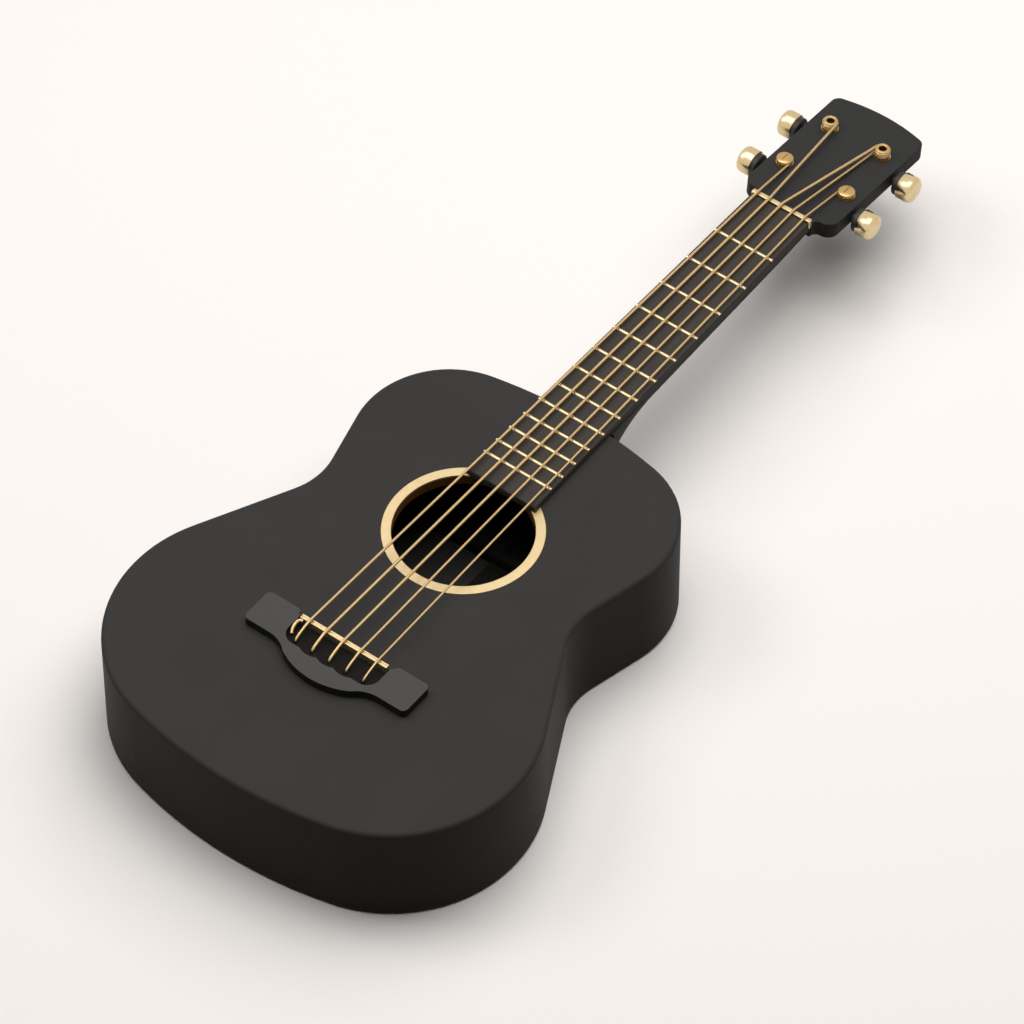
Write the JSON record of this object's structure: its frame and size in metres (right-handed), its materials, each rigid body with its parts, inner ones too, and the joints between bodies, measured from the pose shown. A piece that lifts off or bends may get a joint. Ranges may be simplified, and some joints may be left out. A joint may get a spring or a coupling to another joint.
{
  "type": "acoustic guitar",
  "caption": "Small acoustic guitar with a hollow waisted body, round sound hole, bowed bridge, fretted neck and geared tuners, lying on its back.",
  "frame": {"origin": "on the centre line, on the outer face of the back, under the saddle", "axes": "+Y from the tail to the headstock along the neck, +X to the right seen from above the strings, +Z out of the soundboard"},
  "size_m": [0.279, 0.6585, 0.0835],
  "materials": {
    "matte_black_wood": "matte black lacquer over wood",
    "matte_black_hardwood": "matte black hardwood",
    "bare_softwood": "unfinished softwood",
    "dark_softwood": "stained softwood",
    "satin_brass": "satin, pale gold",
    "polished_brass": "polished, pale gold",
    "bronze_wound_string": "wound bronze",
    "blackened_plastic": "moulded matte black",
    "nickelled_steel": "nickel plated"
  },
  "bodies": {
    "guitar": {"soundboard": "matte_black_wood", "back_plate": "matte_black_wood", "rib_left": "matte_black_wood", "rib_right": "matte_black_wood", "neck": "matte_black_wood", "headplate": "matte_black_wood", "fretboard": "matte_black_wood", "bridge": "matte_black_hardwood", "neck_block": "dark_softwood", "end_block": "dark_softwood", "top_lining": "dark_softwood", "back_lining": "dark_softwood", "top_braces": "dark_softwood", "back_braces": "dark_softwood", "back_centre_strip": "dark_softwood", "bridge_plate": "dark_softwood", "soundhole_hoop": "bare_softwood", "soundhole_ring": "satin_brass", "nut": "satin_brass", "tuner_bushings": "satin_brass", "saddle": "polished_brass", "frets": "polished_brass", "string_ball_ends": "bronze_wound_string", "string_tail": "bronze_wound_string", "string_1": "bronze_wound_string", "string_2": "bronze_wound_string", "string_3": "bronze_wound_string", "string_4": "bronze_wound_string", "string_5": "bronze_wound_string", "truss_rod": "nickelled_steel", "neck_bolts": "nickelled_steel", "tuner_housings": "nickelled_steel", "tuner_covers": "nickelled_steel", "tuner_screws": "nickelled_steel"},
    "knob_upper_left": {"worm_shaft_upper_left": "nickelled_steel", "knob_base_upper_left": "blackened_plastic", "knob_cap_upper_left": "polished_brass"},
    "post_upper_left": {"tuner_post_upper_left": "satin_brass", "worm_wheel_upper_left": "satin_brass", "string_winding_upper_left": "bronze_wound_string"},
    "knob_upper_right": {"worm_shaft_upper_right": "nickelled_steel", "knob_base_upper_right": "blackened_plastic", "knob_cap_upper_right": "polished_brass"},
    "post_upper_right": {"tuner_post_upper_right": "satin_brass", "worm_wheel_upper_right": "satin_brass", "string_winding_upper_right": "bronze_wound_string"},
    "knob_lower_left": {"worm_shaft_lower_left": "nickelled_steel", "knob_base_lower_left": "blackened_plastic", "knob_cap_lower_left": "polished_brass"},
    "post_lower_left": {"tuner_post_lower_left": "satin_brass", "worm_wheel_lower_left": "satin_brass", "string_winding_lower_left": "bronze_wound_string"},
    "knob_lower_right": {"worm_shaft_lower_right": "nickelled_steel", "knob_base_lower_right": "blackened_plastic", "knob_cap_lower_right": "polished_brass"},
    "post_lower_right": {"tuner_post_lower_right": "satin_brass", "worm_wheel_lower_right": "satin_brass", "string_winding_lower_right": "bronze_wound_string"}
  },
  "joints": [
    {"name": "turn_knob_upper_left", "type": "hinge", "parent": "guitar", "child": "knob_upper_left", "pos_m": [-0.0197, 0.50598, 0.06269], "axis": [-1, 0, 0], "continuous": true},
    {"name": "turn_post_upper_left", "type": "hinge", "parent": "guitar", "child": "post_upper_left", "pos_m": [-0.0197, 0.51262, 0.06974], "axis": [0, 0.0872, 0.9962], "continuous": true},
    {"name": "turn_knob_upper_right", "type": "hinge", "parent": "guitar", "child": "knob_upper_right", "pos_m": [0.0197, 0.50598, 0.06269], "axis": [1, 0, 0], "continuous": true},
    {"name": "turn_post_upper_right", "type": "hinge", "parent": "guitar", "child": "post_upper_right", "pos_m": [0.0197, 0.51262, 0.06974], "axis": [0, 0.0872, 0.9962], "continuous": true},
    {"name": "turn_knob_lower_left", "type": "hinge", "parent": "guitar", "child": "knob_lower_left", "pos_m": [-0.0232, 0.46265, 0.06648], "axis": [-1, 0, 0], "continuous": true},
    {"name": "turn_post_lower_left", "type": "hinge", "parent": "guitar", "child": "post_lower_left", "pos_m": [-0.0232, 0.46929, 0.07353], "axis": [0, 0.0872, 0.9962], "continuous": true},
    {"name": "turn_knob_lower_right", "type": "hinge", "parent": "guitar", "child": "knob_lower_right", "pos_m": [0.0232, 0.46265, 0.06648], "axis": [1, 0, 0], "continuous": true},
    {"name": "turn_post_lower_right", "type": "hinge", "parent": "guitar", "child": "post_lower_right", "pos_m": [0.0232, 0.46929, 0.07353], "axis": [0, 0.0872, 0.9962], "continuous": true}
  ],
  "couplings": [
    {"joint": "turn_post_upper_left", "follows": "turn_knob_upper_left", "ratio": -0.071429},
    {"joint": "turn_post_upper_right", "follows": "turn_knob_upper_right", "ratio": 0.071429},
    {"joint": "turn_post_lower_left", "follows": "turn_knob_lower_left", "ratio": -0.071429},
    {"joint": "turn_post_lower_right", "follows": "turn_knob_lower_right", "ratio": 0.071429}
  ]
}
